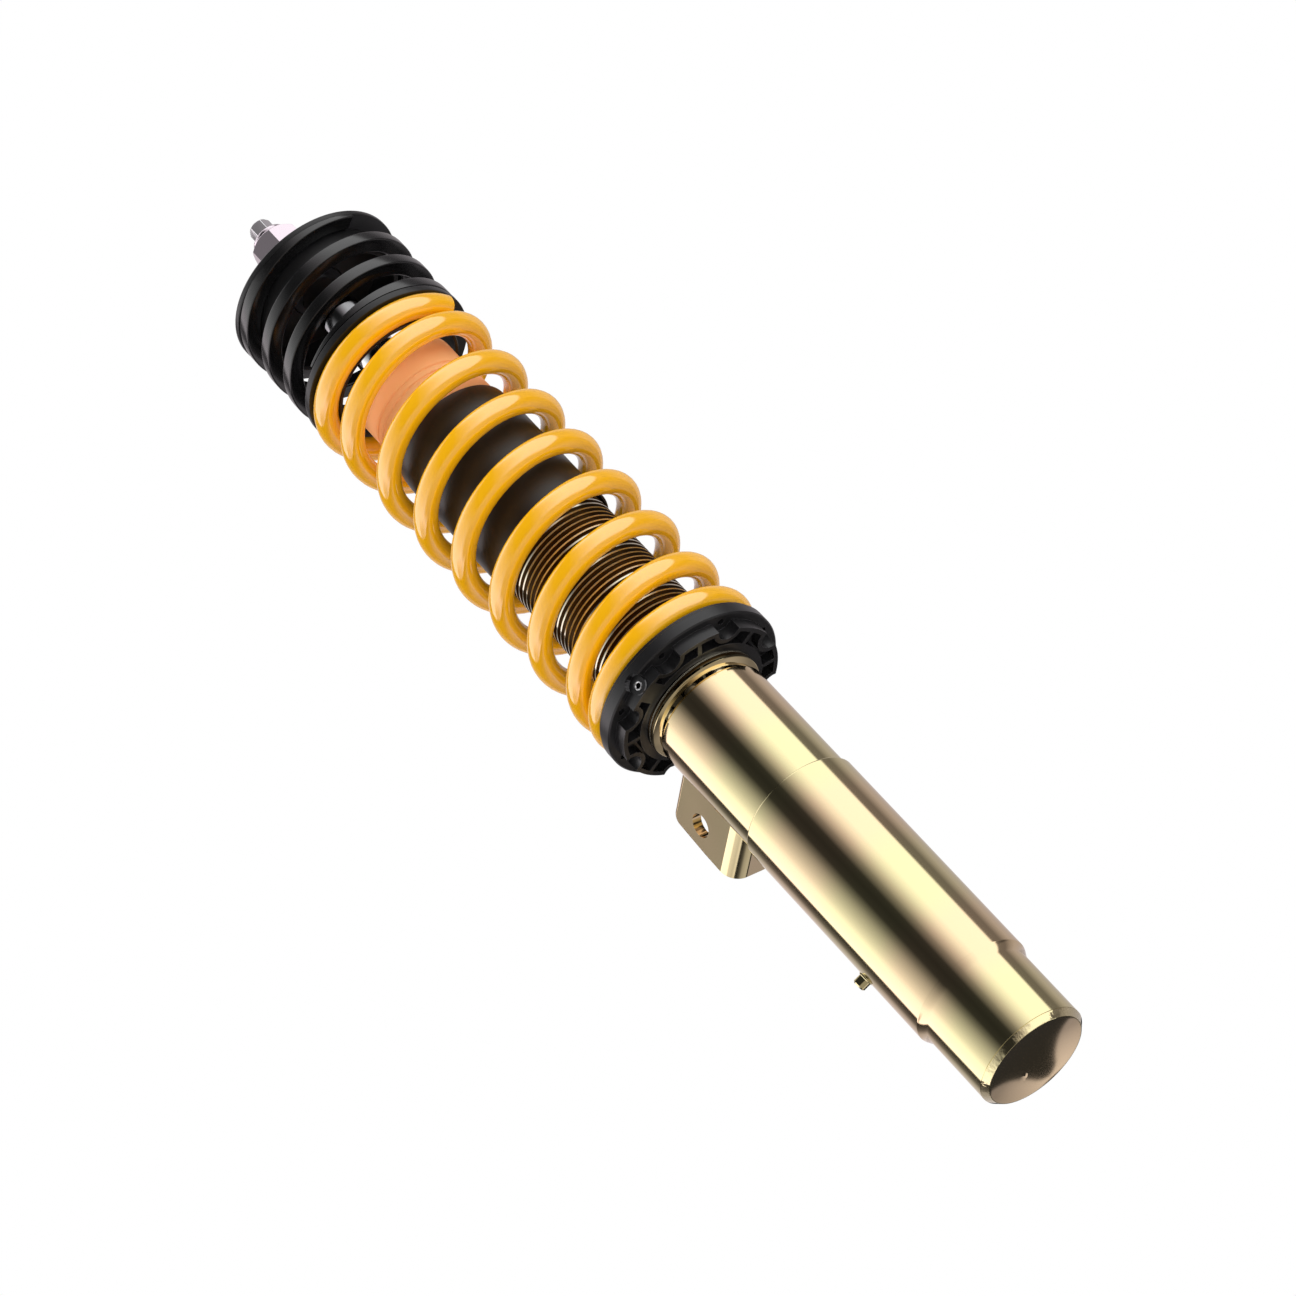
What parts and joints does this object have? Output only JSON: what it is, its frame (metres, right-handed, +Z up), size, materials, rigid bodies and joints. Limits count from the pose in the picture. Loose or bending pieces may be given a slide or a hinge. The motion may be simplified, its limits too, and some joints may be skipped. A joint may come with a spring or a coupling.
{
  "type": "coilover strut",
  "caption": "Front suspension strut: threaded damper tube, height collar, coil spring with a flat-wire helper spring, bump stop and boot, for a clamp-type knuckle.",
  "frame": {"origin": "on the strut's axis, at the height of the locating peg in the clamped body", "axes": "+Z up the strut axis towards the top nut; the locating peg points 4 degrees short of -X, and -Y is the side away from the link bracket"},
  "size_m": [0.087, 0.0882, 0.5641],
  "materials": {
    "zinc": "smooth yellow-passivated zinc plate",
    "plain_steel": "bright machined steel",
    "sintered_iron": "sintered iron",
    "bronze": "bearing bronze",
    "black_rubber": "satin black rubber",
    "yellow_powder_coat": "gloss yellow powder coat",
    "black_composite": "satin black glass-filled nylon",
    "black_coated_steel": "satin black coated spring steel",
    "hard_chrome": "ground hard chrome",
    "brown_ptfe": "filled PTFE",
    "bright_zinc": "bright zinc plate",
    "peach_foam": "matt cellular polyurethane"
  },
  "bodies": {
    "strut": {"strut_tube": "zinc", "base_cap": "zinc", "link_bracket": "zinc", "locating_peg": "zinc", "inner_cylinder": "plain_steel", "base_valve": "sintered_iron", "rod_guide": "sintered_iron", "guide_bush": "bronze", "rod_seal": "black_rubber", "gland_cap": "zinc"},
    "spring_carriage": {"main_spring": "yellow_powder_coat", "slip_ring": "black_composite"},
    "collar": {"adjuster_collar": "black_composite", "clamp_screw": "plain_steel", "clamp_pad": "bronze"},
    "spacer": {"spring_spacer": "black_composite"},
    "upper_seat": {"upper_spring_seat": "black_composite", "helper_spring": "black_coated_steel"},
    "rod": {"piston_rod": "hard_chrome", "piston": "sintered_iron", "piston_band": "brown_ptfe", "rebound_shims": "plain_steel", "compression_shims": "plain_steel", "piston_nut": "plain_steel", "rebound_stop": "black_rubber", "support_washer": "plain_steel", "pivot_bush": "plain_steel", "top_nut": "bright_zinc"},
    "bump_guard": {"bump_stop": "peach_foam", "dust_boot": "black_rubber"}
  },
  "joints": [
    {"name": "collar_lift", "type": "slide", "parent": "strut", "child": "spring_carriage", "axis": [0, 0, 1], "range_m": [0, 0.0112]},
    {"name": "collar_turn", "type": "hinge", "parent": "spring_carriage", "child": "collar", "pos_m": [0, 0, 0.1518], "axis": [0, 0, 1], "range_deg": [0, 1440]},
    {"name": "spacer_slide", "type": "slide", "parent": "spring_carriage", "child": "spacer", "axis": [0, 0, 1], "range_m": [-0.033, 0], "deforming": ["main_spring"]},
    {"name": "rod_slide", "type": "slide", "parent": "spring_carriage", "child": "upper_seat", "axis": [0, 0, 1], "range_m": [-0.055, 0], "stiffness_N_per_m": 30000, "springref_m": 0.0008, "deforming": ["helper_spring"]},
    {"name": "rod_spin", "type": "hinge", "parent": "upper_seat", "child": "rod", "pos_m": [0, 0, 0.4405], "axis": [0, 0, 1], "continuous": true},
    {"name": "bump_slide", "type": "slide", "parent": "rod", "child": "bump_guard", "axis": [0, 0, 1], "range_m": [0, 0.067]}
  ],
  "couplings": [
    {"joint": "collar_turn", "follows": "collar_lift", "rad_per_m": 2244},
    {"joint": "spacer_slide", "follows": "rod_slide", "ratio": 0.6}
  ]
}
